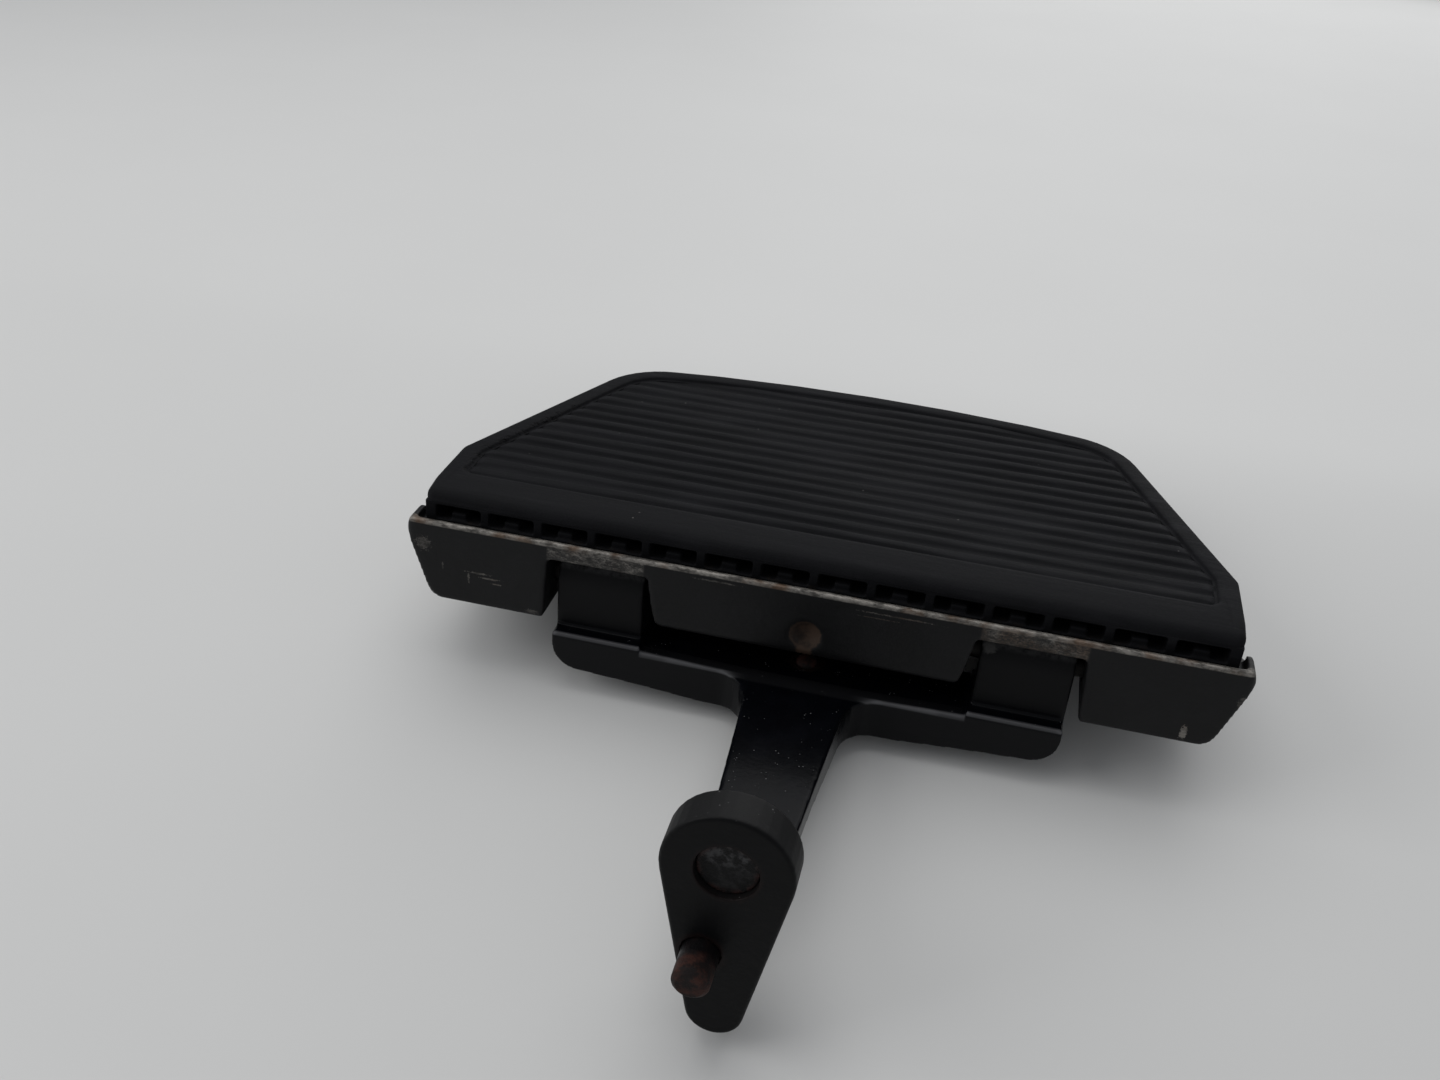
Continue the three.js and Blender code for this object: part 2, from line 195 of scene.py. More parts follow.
# a mask that is 1 inside a box given in millimetres, with soft edges
def inBox(paint, low, high, soft=0.6):
    mask = None
    origin = place(0, 0, 0)
    for index, name in enumerate("XYZ"):
        if low[index] is None and high[index] is None:
            continue
        axis = (paint.axis(name) - origin[index]) * (1 / mm)
        for edge, sign in ((low[index], 1), (high[index], -1)):
            if edge is None:
                continue
            side = axis.above(edge - soft, edge + soft)
            side = side if sign > 0 else 1 - side
            mask = side if mask is None else mask * side
    return mask


castingPaint = {"colour": (0.0036, 0.0037, 0.0041), "bare": (0.25, 0.235, 0.215), "roughness": 0.46,
                "specular": 0.2}
# the forging's edge colour serves worn edges and is also a painted highlight along the crossbar's top
# front edge
bracketPaint = {"colour": (0.0012, 0.0014, 0.0022), "edgeWearAndHighlight": (0.10, 0.10, 0.105),
                "roughness": 0.2, "specular": 0.1}
platePaint = {"colour": (0.0014, 0.0015, 0.0018), "edgeWearAndHighlight": (0.012, 0.012, 0.012),
              "roughness": 0.4, "specular": 0.12}
# the second colour serves both dust streaks and a painted highlight along edges and rib crests
rubberValues = {"colour": (0.0046, 0.0047, 0.0055), "dustAndHighlight": (0.016, 0.016, 0.018),
                "roughness": 0.7, "specular": 0.07}
rustValues = {"dark": (0.005, 0.0025, 0.0024), "light": (0.038, 0.0120, 0.0078),
              "crumb": (0.06, 0.035, 0.025)}
greaseValues = {"dark": (0.0035, 0.0035, 0.0038), "metal": (0.05, 0.05, 0.052),
                "rim": (0.030, 0.011, 0.009)}
dimpleValues = {"centre": (0, 0, 12.5), "radius": 5.1, "rust": (0.046, 0.029, 0.020),
                "dark": (0.012, 0.008, 0.006)}
# marks knocked through the casting's paint: centre, half sizes, amount of bare metal
chipValues = (
    ((117.3, 0, 3.8), (1.3, 3, 3.4), 0.9), ((-108.5, 0, 12.6), (5.5, 3, 0.5), 0.5),
    ((-105.0, 0, 11.2), (4.5, 3, 0.45), 0.45), ((-102.5, 0, 9.6), (2.6, 3, 0.4), 0.5),
    ((-112.0, 0, 10.4), (0.5, 3, 2.6), 0.4), ((-127.5, 0, 20.5), (3.5, 3, 3.2), 0.3),
    ((27.0, 0, 25.6), (15.0, 3, 0.35), 0.4), ((22.0, 0, 23.9), (7.0, 3, 0.25), 0.3),
    ((-30.0, 0, 26.3), (9.0, 3, 0.4), 0.3), ((131.0, 0, 18.0), (1.6, 3, 3.0), 0.35),
    ((-90.0, 0, 1.6), (3.0, 3, 1.2), 0.35), ((-121.0, 0, 13.0), (0.4, 3, 2.2), 0.3),
)


def most(first, *others):
    for other in others:
        first = first.maths("MAXIMUM", other)
    return first


# distance from a point in millimetres, each axis divided by its own half size
def farFrom(paint, centre, halves=(1, 1, 1)):
    gap = paint.add("VectorMath", {"operation": "SUBTRACT"},
                    {0: paint.spot(), 1: place(*centre)})
    scaled = paint.add("VectorMath", {"operation": "MULTIPLY"},
                       {0: gap, 1: tuple(1 / mm / half for half in halves)})
    return paint.add("VectorMath", {"operation": "LENGTH"}, {0: scaled}, output=1)


def paintedCasting(values):
    paint = Paint("satin_paint_on_casting")
    edge = paint.attribute("edge")
    patch = paint.noise(120.0, 5.0, 0.6)
    fine = paint.noise(900.0, 3.0, 0.6)
    grain = paint.noise(650.0, 4.0, 0.6)
    wander = paint.noise(55.0, 4.0, 0.65)
    flakes = paint.noise(520.0, 5.0, 0.7, stretch=(0.45, 1.0, 1.0))
    # bare metal: the top of the front lip, the strips over the lugs, sharp edges and chips
    lip = inBox(paint, (None, None, 27.7), (None, 3.2, None), 0.3)
    lip = lip * (patch * 1.1 + flakes * 0.5 + 0.3).above(0.62, 0.95)
    sides = most(inBox(paint, (53.2, None, 22.4), (85.0, 2.2, None), 0.6),
                 inBox(paint, (-85.0, None, 22.4), (-53.2, 2.2, None), 0.6))
    speckle = paint.noise(1700.0, 4.0, 0.75, stretch=(0.6, 1.0, 1.0))
    strips = sides * (speckle * 1.5 + flakes * 0.6 + patch * 0.3).above(0.95, 1.6)
    worn = (edge * (patch * 1.2 + fine * 0.4 + 0.1)).above(0.62, 0.85) * 0.6
    bare = most(lip, strips * 0.85, worn)
    ragged = paint.noise(1500.0, 4.0, 0.75) * 2.6 - 1.3
    for centre, halves, amount in chipValues:
        bare = most(bare, (farFrom(paint, centre, halves) + ragged).below(0.55, 0.8) * amount)
    tone = paint.mixColour(wander.above(0.35, 0.7), values["colour"],
                           tuple(part * 1.6 for part in values["colour"]))
    tone = paint.mixColour(sides * 0.7, tone, (0.024, 0.023, 0.022))
    metal = paint.mixColour(flakes.above(0.35, 0.65), tuple(part * 0.22 for part in values["bare"]),
                            values["bare"])
    metal = paint.mixColour(paint.noise(90.0, 3.0, 0.5).above(0.5, 0.7) * 0.7, metal,
                            (0.10, 0.060, 0.036))
    tone = paint.mixColour(bare, tone, metal)
    # rust in the dimple and down the track that the ball has worn
    low = inBox(paint, (None, None, None), (None, 3.0, None), 0.3)
    reach = farFrom(paint, dimpleValues["centre"]) + (fine * 1.6 - 0.8)
    dimple = reach.below(dimpleValues["radius"] - 0.5, dimpleValues["radius"] + 0.4) * low
    track = inBox(paint, (-2.4, None, 2.0), (2.4, 3.5, 9.0), 0.7) * patch.above(0.25, 0.5)
    rust = paint.mixColour(patch.above(0.38, 0.6), dimpleValues["dark"], dimpleValues["rust"])
    rust = paint.mixColour(reach.above(4.0, 5.4), rust, dimpleValues["rust"])
    tone = paint.mixColour(most(dimple * 0.9, track * 0.85), tone, rust)
    height = grain * 0.7 + paint.noise(260.0, 2.0, 0.5) * 0.8 + bare * (flakes * 1.4 - 1.0)
    return paint.finish(
        colour=tone, roughness=wander * 0.16 + fine * 0.1 + values["roughness"] - 0.1 + bare * 0.06,
        metallic=bare * 0.7, normal=paint.bump(height, 0.00022, 0.55),
        specular=values["specular"])


def blackEnamel(name, values, bumpSize, extra=None):
    paint = Paint(name)
    edge = paint.attribute("edge")
    patch = paint.noise(95.0, 4.0, 0.6)
    fine = paint.noise(1100.0, 3.0, 0.6)
    specks = paint.cells(900.0).below(0.12, 0.22) * paint.noise(300.0, 2.0, 0.5).above(0.6, 0.66)
    upward = paint.add("SeparateXYZ", {}, {0: paint.add("NewGeometry", output="Normal")}, output="Z")
    specks = specks * upward.above(0.5, 0.9)
    worn = (edge * (patch * 1.1 + fine * 0.5 + 0.2)).above(0.5, 0.95)
    tone = paint.mixColour(patch.above(0.4, 0.75) * 0.6, values["colour"],
                           tuple(part * 2.0 for part in values["colour"]))
    # worn edges take the edge colour, which on the forging also stands as a painted highlight
    tone = paint.mixColour(worn * 0.6, tone, values["edgeWearAndHighlight"])
    rough = patch * 0.12 + fine * 0.06 + values["roughness"] - 0.06
    if extra:
        tone, rough = extra(paint, tone, rough, edge)
    tone = paint.mixColour(specks * 0.5, tone, (0.2, 0.2, 0.2))
    return paint.finish(
        colour=tone, roughness=rough + specks * 0.3, metallic=worn * 0.3,
        normal=paint.bump(patch * 1.4 + paint.noise(420.0, 3.0, 0.6) * 0.5, bumpSize, 0.5),
        specular=values["specular"])


# the forging is greyer and duller on its front faces, rubbed on its lugs, and carries a painted
# highlight along its top front edge
def bracketWear(paint, tone, rough, edge):
    front = inBox(paint, (None, -3.0, None), (None, 3.5, -5.5), 0.8)
    tone = paint.mixColour(front * 0.8, tone, (0.0075, 0.0076, 0.0083))
    rough = rough + front * 0.14
    middle = inBox(paint, (-53.0, -2.5, -7.1), (53.0, 0.1, -4.6), 0.35)
    ends = (1 - inBox(paint, (-53.0, None, None), (53.0, None, None), 0.35)) * inBox(
        paint, (None, -2.5, -4.9), (None, 0.1, -3.2), 0.35)
    arm = inBox(paint, (-21.0, None, None), (21.0, None, None), 5.0)
    # painted highlight: a light line along the crossbar's top front edge, where its rounded edge would
    # catch the light
    edgeWearAndHighlight = most(middle * (1 - arm), ends) * (edge * 2.0 + 0.3).clamped()
    tone = paint.mixColour(edgeWearAndHighlight * 0.8, tone, bracketPaint["edgeWearAndHighlight"])
    lugs = inBox(paint, (None, None, -2.0), (None, 16.0, None), 1.0)
    tone = paint.mixColour(lugs * 0.8, tone, (0.0058, 0.0058, 0.0062))
    rough = rough + lugs * 0.2
    ragged = paint.noise(500.0, 4.0, 0.7) * 1.6 - 0.8
    rubbed = inBox(paint, (None, None, 17.6), (None, 12.0, None), 1.0) * (ragged + 0.7).above(0.3, 0.9)
    scuff = (farFrom(paint, (56.5, 5.0, 17.5), (3.0, 4.0, 2.6)) + ragged).below(0.5, 0.9)
    tone = paint.mixColour(rubbed * 0.7, tone, (0.06, 0.06, 0.061))
    tone = paint.mixColour(scuff * 0.7, tone, (0.07, 0.068, 0.066))
    rusty = (farFrom(paint, (0, 13, -6), (6.2, 5.4, 5.0)) + ragged * 0.5).below(0.6, 1.1)
    tone = paint.mixColour(rusty * 0.75, tone, (0.016, 0.008, 0.006))
    return tone, rough + rusty * 0.3


# a stain of rust round the locating dowel and the recess
def plateWear(paint, tone, rough, edge):
    ragged = paint.noise(420.0, 4.0, 0.7) * 1.2 - 0.6
    for centre, halves in (((-4.8, -106, -17.8), (7.2, 30, 7.2)), ((0, -106, 11.3), (9.6, 30, 9.6))):
        stain = (farFrom(paint, centre, halves) + ragged * 0.25).below(0.85, 1.05)
        tone = paint.mixColour(stain * 0.55, tone, (0.010, 0.0048, 0.0042))
    band = inBox(paint, (None, -107.0, None), (None, None, None), 0.5)
    tone = paint.mixColour(band * 0.7, tone, (0.0085, 0.0085, 0.0087))
    return tone, rough + band * 0.12


def wornRubber(values):
    paint = Paint("worn_rubber")
    edge = paint.attribute("edge")
    patch = paint.noise(38.0, 5.0, 0.6)
    fine = paint.noise(1500.0, 3.0, 0.7)
    streak = paint.noise(160.0, 4.0, 0.6, stretch=(0.1, 1.0, 1.0))
    dust = paint.noise(220.0, 4.0, 0.65).above(0.5, 0.75)
    tone = paint.mixColour(patch.above(0.35, 0.7), values["colour"],
                           tuple(part * 1.5 for part in values["colour"]))
    tone = paint.mixColour(streak.above(0.5, 0.7) * 0.4, tone, values["dustAndHighlight"])
    # painted highlight lines along convex edges and rib crests, mixed with dust
    tone = paint.mixColour(edge.above(0.35, 0.9) * (fine * 0.7 + 0.15), tone, values["dustAndHighlight"])
    # torn nicks beside the left groove, and a painted highlight on the front band
    nicks = inBox(paint, (-122.0, 16.0, 36.0), (-98.0, 82.0, None), 1.0) * paint.attribute("groove")
    tone = paint.mixColour(nicks * dust, tone, (0.0012, 0.0011, 0.0011))
    # painted highlight: the rounded front band is made lighter, where it catches the light
    band = inBox(paint, (None, 6.0, 34.0), (None, 17.0, None), 2.5)
    tone = paint.mixColour(band * 0.6, tone, (0.0088, 0.0089, 0.0098))
    # grime in the pockets and on the strip under them
    low = inBox(paint, (None, None, None), (None, 8.0, 28.4), 0.5)
    tone = paint.mixColour(low * dust * 0.6, tone, (0.016, 0.012, 0.009))
    specks = paint.cells(260.0).below(0.05, 0.1) * paint.noise(110.0, 2.0, 0.5).above(0.62, 0.68)
    tone = paint.mixColour(specks * 0.7, tone, (0.12, 0.115, 0.11))
    rough = patch * 0.16 + fine * 0.12 + values["roughness"] - 0.12
    height = fine * 0.5 + patch * 1.6 + paint.noise(480.0, 4.0, 0.6) + streak * 2.6 - nicks * dust * 5
    return paint.finish(colour=tone, roughness=rough, normal=paint.bump(height, 0.00022, 0.7),
                        specular=values["specular"])


def rustySteel(name, values, cleanRoot=None):
    paint = Paint(name)
    patch = paint.noise(260.0, 6.0, 0.65)
    fine = paint.noise(1600.0, 4.0, 0.7)
    tone = paint.mixColour(patch.above(0.4, 0.64), values["dark"], values["light"])
    tone = paint.mixColour(fine.above(0.56, 0.75) * 0.45, tone, values["crumb"])
    rough = 0.62 + fine * 0.12
    if cleanRoot:
        root = inBox(paint, (None, cleanRoot, None), (None, None, None), 1.6)
        tone = paint.mixColour(root * 0.85, tone, (0.0028, 0.0026, 0.0032))
        rough = rough - root * 0.3
    return paint.finish(colour=tone, roughness=rough, metallic=0.15,
                        normal=paint.bump(patch * 1.2 + fine * 0.8, 0.0003, 0.7), specular=0.25)


# the bottom of the round recess: black grease over rough metal, rust at its rim
def greasySteel(values):
    paint = Paint("greasy_steel")
    patch = paint.noise(330.0, 5.0, 0.65)
    fine = paint.noise(1500.0, 4.0, 0.7)
    reach = farFrom(paint, (0, -105.6, 11.3), (1, 40, 1))
    upper = inBox(paint, (None, None, 12.5), (None, None, None), 2.5)
    tone = paint.mixColour(patch.above(0.44, 0.6) * (upper * 0.8 + 0.2), values["dark"],
                           values["metal"])
    tone = paint.mixColour(reach.above(6.0, 8.0) * patch.above(0.4, 0.6) * 0.8, tone, values["rim"])
    return paint.finish(colour=tone, roughness=0.42 + fine * 0.25, metallic=0.35,
                        normal=paint.bump(patch * 1.6 + fine * 0.6, 0.0006, 0.8), specular=0.3)


def bareSteel(name, colour, rough):
    paint = Paint(name)
    patch = paint.noise(200.0, 4.0, 0.6)
    lines = paint.noise(500.0, 3.0, 0.6, stretch=(0.05, 1.0, 1.0))
    tone = paint.mixColour(patch.above(0.4, 0.7) * 0.7, colour, tuple(part * 0.35 for part in colour))
    return paint.finish(colour=tone, roughness=lines * 0.2 + rough - 0.1, metallic=0.8,
                        normal=paint.bump(lines, 0.00005, 0.4))


castingFinish = paintedCasting(castingPaint)
bracketFinish = blackEnamel("gloss_black_forging", bracketPaint, 0.00012, bracketWear)
plateFinish = blackEnamel("satin_black_plate", platePaint, 0.0003, plateWear)
rubberFinish = wornRubber(rubberValues)
dowelFinish = rustySteel("rusty_dowel", rustValues, -112.6)
ballFinish = rustySteel("rusty_ball", rustValues)
plugFinish = greasySteel(greaseValues)
pinFinish = bareSteel("dark_pin_steel", (0.014, 0.013, 0.012), 0.5)
springFinish = bareSteel("spring_steel", (0.22, 0.21, 0.20), 0.35)
screwFinish = bareSteel("dark_screw_steel", (0.05, 0.05, 0.05), 0.4)
print("finishes made")


def newPiece(name, vertices, faces, material, body, nodes=(), smooth=True):
    mesh = bpy.data.meshes.new(name)
    mesh.from_pydata([place(*vertex) for vertex in vertices], [], faces)
    mesh.validate()
    mesh.materials.append(material)
    piece = bpy.data.objects.new(name, mesh)
    bpy.context.scene.collection.objects.link(piece)
    settle(piece, body, nodes, smooth)
    return piece


def settle(piece, body, nodes=(), smooth=True):
    mesh = piece.data
    work = bmesh.new()
    work.from_mesh(mesh)
    bmesh.ops.recalc_face_normals(work, faces=work.faces)
    work.to_mesh(mesh)
    work.free()
    mesh.polygons.foreach_set("use_smooth", [smooth] * len(mesh.polygons))
    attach(piece, body)
    if nodes:
        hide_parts(*nodes)


# edge is 1 on outward corners
def markEdges(mesh, reach, spread=2):
    count = len(mesh.vertices)
    spots = np.empty(count * 3)
    mesh.vertices.foreach_get("co", spots)
    spots = spots.reshape(-1, 3)
    normals = np.empty(count * 3)
    mesh.vertices.foreach_get("normal", normals)
    normals = normals.reshape(-1, 3)
    ends = np.empty(len(mesh.edges) * 2, dtype=np.int64)
    mesh.edges.foreach_get("vertices", ends)
    one, two = ends.reshape(-1, 2).T
    degree = np.bincount(one, minlength=count) + np.bincount(two, minlength=count)
    degree = np.maximum(degree, 1)

    def averaged(values):
        if values.ndim == 1:
            total = np.bincount(one, values[two], count) + np.bincount(two, values[one], count)
            return total / degree
        return np.stack([averaged(values[:, index]) for index in range(values.shape[1])], 1)

    bend = -np.einsum("ij,ij->i", averaged(spots) - spots, normals) / (reach * mm)
    for _ in range(spread):
        bend = 0.5 * bend + 0.5 * averaged(bend)
    mark = mesh.attributes.new("edge", "FLOAT", "POINT")
    mark.data.foreach_set("value", np.clip(bend, 0, 1).astype(np.float32))


def applyModifiers(piece):
    graph = bpy.context.evaluated_depsgraph_get()
    made = bpy.data.meshes.new_from_object(piece.evaluated_get(graph))
    old = piece.data
    piece.modifiers.clear()
    piece.data = made
    bpy.data.meshes.remove(old)


# copies a CAD solid and rounds its edges the way a casting or forging is rounded
def roundedCopy(values):
    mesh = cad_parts[values["node"]].data.copy()
    mesh.materials.clear()
    mesh.materials.append(values["finish"])
    piece = bpy.data.objects.new(values["name"], mesh)
    bpy.context.scene.collection.objects.link(piece)
    work = bmesh.new()
    work.from_mesh(mesh)
    bmesh.ops.remove_doubles(work, verts=work.verts, dist=1e-6)
    work.to_mesh(mesh)
    work.free()
    remesh = piece.modifiers.new("remesh", "REMESH")
    remesh.mode = "VOXEL"
    remesh.voxel_size = values["voxel"] * mm
    remesh.adaptivity = 0.0
    relax = piece.modifiers.new("relax", "SMOOTH")
    relax.factor = 0.5
    relax.iterations = values["passes"]
    applyModifiers(piece)
    markEdges(piece.data, values["edgeReach"])
    settle(piece, values["body"], [values["node"]])


def roundOutline(corners, steps=6):
    points = []
    total = len(corners)
    for index, (x, y, radius) in enumerate(corners):
        here = Vector((x, y))
        before = (Vector(corners[index - 1][:2]) - here).normalized()
        after = (Vector(corners[(index + 1) % total][:2]) - here).normalized()
        half = math.acos(max(-1.0, min(1.0, before.dot(after)))) / 2
        if radius < 1e-6 or half > math.pi / 2 - 1e-4:
            points += [(x, y)] * (steps + 1)
            continue
        reach = radius / math.tan(half)
        centre = here + (before + after).normalized() * (radius / math.sin(half))
        start = here + before * reach - centre
        end = here + after * reach - centre
        first = math.atan2(start.y, start.x)
        sweep = math.atan2(end.y, end.x) - first
        sweep = (sweep + math.pi) % (2 * math.pi) - math.pi
        for step in range(steps + 1):
            angle = first + sweep * step / steps
            points.append((centre.x + radius * math.cos(angle), centre.y + radius * math.sin(angle)))
    return points


def growOutline(corners, distance):
    total = len(corners)
    lines = []
    for index, corner in enumerate(corners):
        after = corners[(index + 1) % total]
        along = Vector((after[0] - corner[0], after[1] - corner[1])).normalized()
        lines.append((corner[0] + along.y * distance, corner[1] - along.x * distance, along))
    grown = []
    for index, corner in enumerate(corners):
        firstX, firstY, firstWay = lines[index - 1]
        nextX, nextY, nextWay = lines[index]
        cross = firstWay.x * nextWay.y - firstWay.y * nextWay.x
        step = ((nextX - firstX) * nextWay.y - (nextY - firstY) * nextWay.x) / cross
        grown.append((firstX + firstWay.x * step, firstY + firstWay.y * step,
                      max(corner[2] + distance, 0.6)))
    return grown


# joins rings of equal length into a skin; closed also joins the last ring to the first
def skin(rings, closed=True):
    count = len(rings[0])
    vertices = [vertex for ring in rings for vertex in ring]
    faces = []
    for index in range(len(rings) if closed else len(rings) - 1):
        first = index * count
        second = ((index + 1) % len(rings)) * count
        for step in range(count):
            after = (step + 1) % count
            faces.append((first + step, first + after, second + after, second + step))
    return vertices, faces


treadValues = {
    "corners": [(128.4, 4.5, 3), (128.4, 36.5, 4), (93, 123, 28), (60, 128.2, 40),
                (30, 130.9, 60), (0, 131.8, 60)],
    "border": 8.0, "frontBand": 15.0, "topZ": 38.8, "splitZ": 33.2, "underZ": 26.2,
    "valleyZ": 37.3, "crestZ": 38.45, "pitch": 6.7,
    "frontDrop": 2.2, "frontReach": 11.0, "edgeRadius": 2.4, "cornerSteps": 7, "runParts": 5,
    "grooveRings": (10, 15), "columns": 90,
}


def mirroredCorners(half):
    left = [(-x, y, radius) for x, y, radius in reversed(half) if x > 0]
    return half + left


def frontDrop(y):
    share = min(max((y - treadValues["corners"][0][1]) / treadValues["frontReach"], 0.0), 1.0)
    return treadValues["frontDrop"] * (1 - share) ** 2


def innerCorners():
    inner = growOutline(mirroredCorners(treadValues["corners"]), -treadValues["border"])
    bandY = treadValues["corners"][0][1] + treadValues["frontBand"]
    return [(x, max(y, bandY), 3.0 if y < bandY else radius) for x, y, radius in inner]


def treadBorder():
    values = treadValues
    outer = mirroredCorners(values["corners"])
    inner = innerCorners()
    top = values["topZ"]
    radius = values["edgeRadius"]
    section = [(outer, -0.35, values["splitZ"] + 0.15), (outer, 0.0, values["splitZ"] + 0.6),
               (outer, 0.0, top - radius)]
    for step in range(1, 6):
        angle = math.pi / 2 * step / 5
        section.append((outer, -radius + radius * math.cos(angle),
                        top - radius + radius * math.sin(angle)))
    section += [(outer, -4.0, top + 0.05), (inner, 2.4, top + 0.05), (inner, 1.2, top - 0.05),
                (inner, 0.7, top - 0.35), (inner, 0.55, top - 0.9), (inner, 0.2, top - 1.15),
                (inner, -0.2, top - 1.0), (inner, -0.5, top - 1.3), (inner, -0.6, top - 3.0),
                (inner, -0.2, values["splitZ"] + 0.15)]
    rings = []
    for corners, distance, z in section:
        points = splitEven(roundOutline(growOutline(corners, distance), values["cornerSteps"]))
        rings.append([(x, y, z - frontDrop(y) * (1 if z > values["splitZ"] + 1 else 0))
                      for x, y in points])
    vertices, faces = skin(rings)
    piece = newPiece("tread_border", vertices, faces, rubberFinish, "footboard",
                     ["tread_pad"])
    # marks the rings beside the inner step, where the rubber tears
    count = len(rings[0])
    first, last = values["grooveRings"]
    groove = piece.data.attributes.new("groove", "FLOAT", "POINT")
    groove.data.foreach_set("value", [1.0 if first <= index // count <= last else 0.0
                                      for index in range(len(vertices))])


# splits each straight run into the same number of parts, so rings still match
def splitEven(points):
    out = []
    total = len(points)
    perCorner = treadValues["cornerSteps"] + 1
    for index, point in enumerate(points):
        after = points[(index + 1) % total]
        out.append(point)
        parts = treadValues["runParts"] if (index + 1) % perCorner == 0 else 1
        for step in range(1, parts):
            share = step / parts
            out.append((point[0] + (after[0] - point[0]) * share,
                        point[1] + (after[1] - point[1]) * share))
    return out


def halfWidthAt(points, y):
    best = 0.0
    for index, (x, thisY) in enumerate(points):
        nextX, nextY = points[(index + 1) % len(points)]
        if x < 0 and nextX < 0:
            continue
        low, high = sorted((thisY, nextY))
        if low <= y <= high and high > low:
            share = (y - thisY) / (nextY - thisY)
            best = max(best, x + (nextX - x) * share)
    return best


def treadField():
    values = treadValues
    edge = roundOutline(growOutline(innerCorners(), 0.3), 10)
    lowY = min(y for x, y in edge) + 0.02
    highY = max(y for x, y in edge) - 0.05
    # one rib across: share of the pitch, share of the height
    profile = [(0.0, 0.0), (0.09, 0.05), (0.16, 0.35), (0.23, 0.84), (0.31, 1.0), (0.69, 1.0),
               (0.77, 0.84), (0.84, 0.35), (0.91, 0.05)]
    rows = [(lowY, 0.0)]
    ribs = int((highY - lowY - 1.0) / values["pitch"])
    pitch = (highY - lowY - 1.0) / ribs
    for rib in range(ribs):
        for share, rise in profile:
            rows.append((lowY + 0.6 + (rib + share) * pitch, rise))
    rows.append((highY, 0.0))
    columns = values["columns"]
    rings = []
    for y, rise in rows:
        half = halfWidthAt(edge, y)
        ring = []
        for column in range(columns + 1):
            share = -1 + 2 * column / columns
            x = share * half
            # crests are worn a little unevenly, and fade out next to the border
            wear = 0.10 * math.sin(x * 0.083 + y * 0.31) + 0.07 * math.sin(x * 0.21 - y * 0.17)
            fade = min(1.0, (half - abs(x)) / 2.5)
            rubbed = 0.66 + 0.24 * math.sin(x * 0.031 + y * 0.05 + 1.1) + 0.1 * math.sin(y * 0.9)
            z = values["valleyZ"] + (values["crestZ"] - values["valleyZ"]) * rise * rubbed * (
                0.35 + 0.65 * fade) + wear * rise
            sway = 0.22 * math.sin(x * 0.047 + y * 0.4) * fade
            ring.append((x, y + sway, z))
        rings.append([(ring[0][0], y, values["valleyZ"] - 2)] + ring
                     + [(ring[-1][0], y, values["valleyZ"] - 2)])
    vertices, faces = skin(rings, closed=False)
    first = list(range(columns + 3))
    last = [(len(rings) - 1) * (columns + 3) + index for index in first]
    faces += [tuple(reversed(first)), tuple(last)]
    piece = newPiece("tread_ribs", vertices, faces, rubberFinish, "footboard")
    markEdges(piece.data, 0.35, 0)


pocketValues = {"count": 14, "pitch": 18.0, "width": 15.2, "lowZ": 28.0, "highZ": 32.9,
                "depth": 12.0, "toothWidth": 5.0, "toothHeight": 2.6, "voxel": 0.42}


def boxMesh(work, x0, x1, y0, y1, z0, z1):
    corners = [work.verts.new(place(x, y, z)) for z in (z0, z1) for y in (y0, y1) for x in (x0, x1)]
    for face in ((0, 2, 3, 1), (4, 5, 7, 6), (0, 1, 5, 4), (2, 6, 7, 3), (0, 4, 6, 2), (1, 3, 7, 5)):
        work.faces.new([corners[index] for index in face])


def pocketRow():
    values = pocketValues
    tread = treadValues
    frontY = tread["corners"][0][1]
    backY = frontY + values["depth"] + 2
    edgeX = tread["corners"][0][0] - 0.2
    work = bmesh.new()
    boxMesh(work, -edgeX, edgeX, frontY, backY, tread["underZ"], values["lowZ"])
    boxMesh(work, -edgeX, edgeX, frontY, backY, values["highZ"], tread["splitZ"] + 1.0)
    boxMesh(work, -edgeX, edgeX, backY - 2, backY, tread["underZ"], tread["splitZ"])
    edges = [-edgeX]
    for index in range(values["count"]):
        x = (index - (values["count"] - 1) / 2) * values["pitch"]
        edges += [x - values["width"] / 2, x + values["width"] / 2]
        half = values["toothWidth"] / 2
        boxMesh(work, x - half, x + half, frontY + 0.6, backY, tread["underZ"] + 0.5,
                values["lowZ"] + values["toothHeight"])
    edges.append(edgeX)
    for index in range(0, len(edges), 2):
        boxMesh(work, edges[index], edges[index + 1], frontY, backY, tread["underZ"], tread["splitZ"])
    mesh = bpy.data.meshes.new("pad_pockets")
    work.to_mesh(mesh)
    work.free()
    mesh.materials.append(rubberFinish)
    piece = bpy.data.objects.new("pad_pockets", mesh)
    bpy.context.scene.collection.objects.link(piece)
    remesh = piece.modifiers.new("remesh", "REMESH")
    remesh.mode = "VOXEL"
    remesh.voxel_size = values["voxel"] * mm
    relax = piece.modifiers.new("relax", "SMOOTH")
    relax.factor = 0.5
    relax.iterations = 3
    applyModifiers(piece)
    markEdges(piece.data, 0.25)
    settle(piece, "footboard", ["pad_isolator"])


